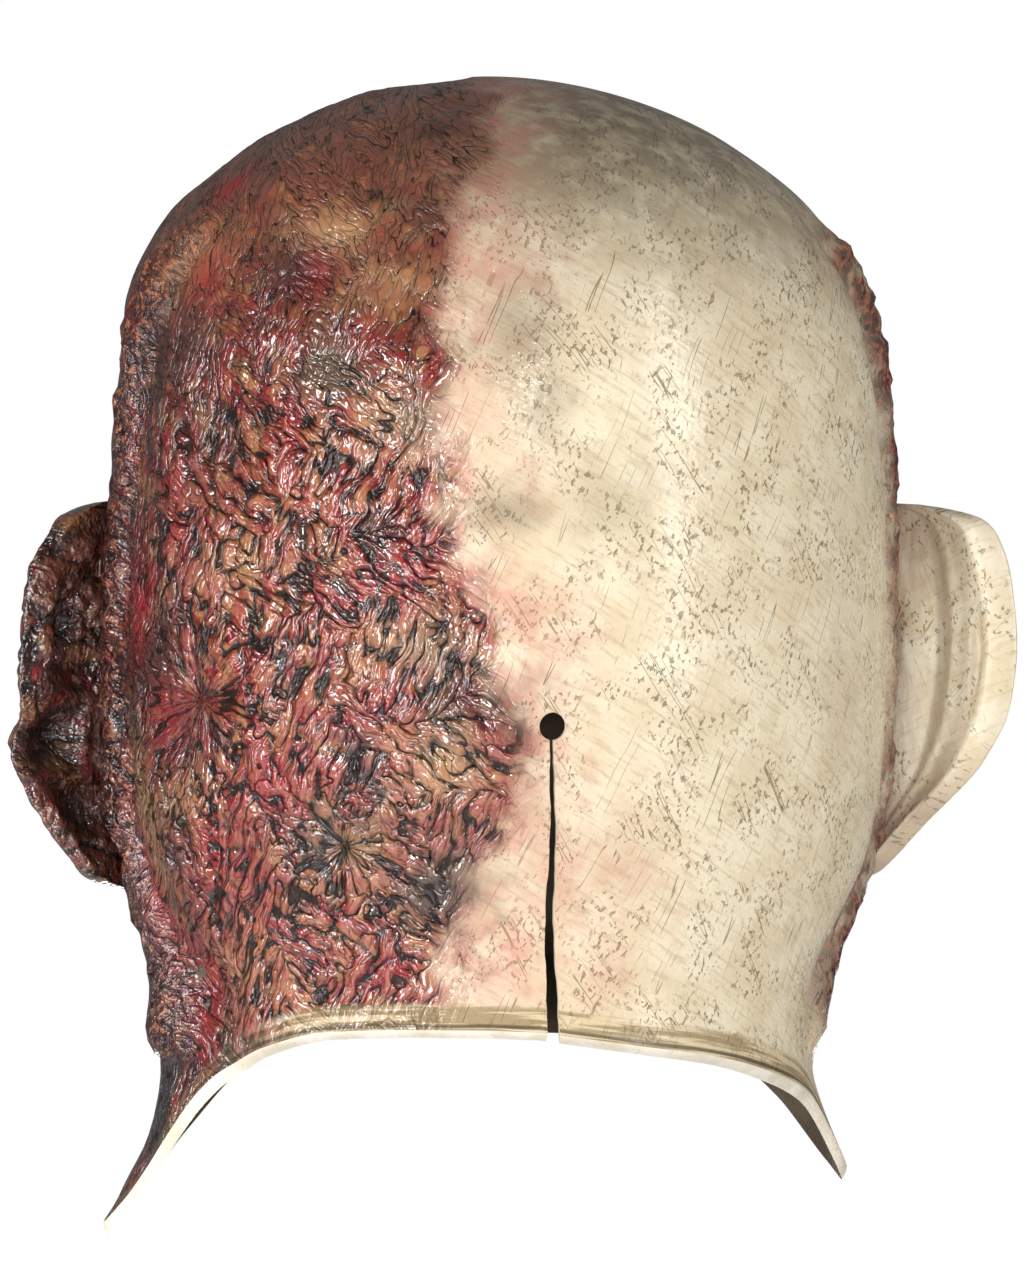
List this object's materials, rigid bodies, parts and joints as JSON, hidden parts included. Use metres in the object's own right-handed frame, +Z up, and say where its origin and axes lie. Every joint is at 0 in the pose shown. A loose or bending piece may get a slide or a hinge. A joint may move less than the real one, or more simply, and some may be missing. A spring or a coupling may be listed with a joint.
{
  "type": "clown mask",
  "caption": "Full-head latex clown mask with ball nose, eye and mouth openings, ears, side flaps and a keyhole slit up the back, part burned and part plain skin.",
  "frame": {"origin": "inside top of the crown, where the mask rests on a head", "axes": "+Z up, the face looks along -Y, +X towards the wearer's left ear, which is the burned side"},
  "size_m": [0.2568, 0.2435, 0.2962],
  "materials": {
    "painted_latex": "hand-painted natural latex: matt aged cream with speckles and scratches on one half, glossy red, brown and black burned skin on the other, bare pale latex inside"
  },
  "bodies": {
    "root": {"latex_mask": "painted_latex"}
  },
  "joints": []
}
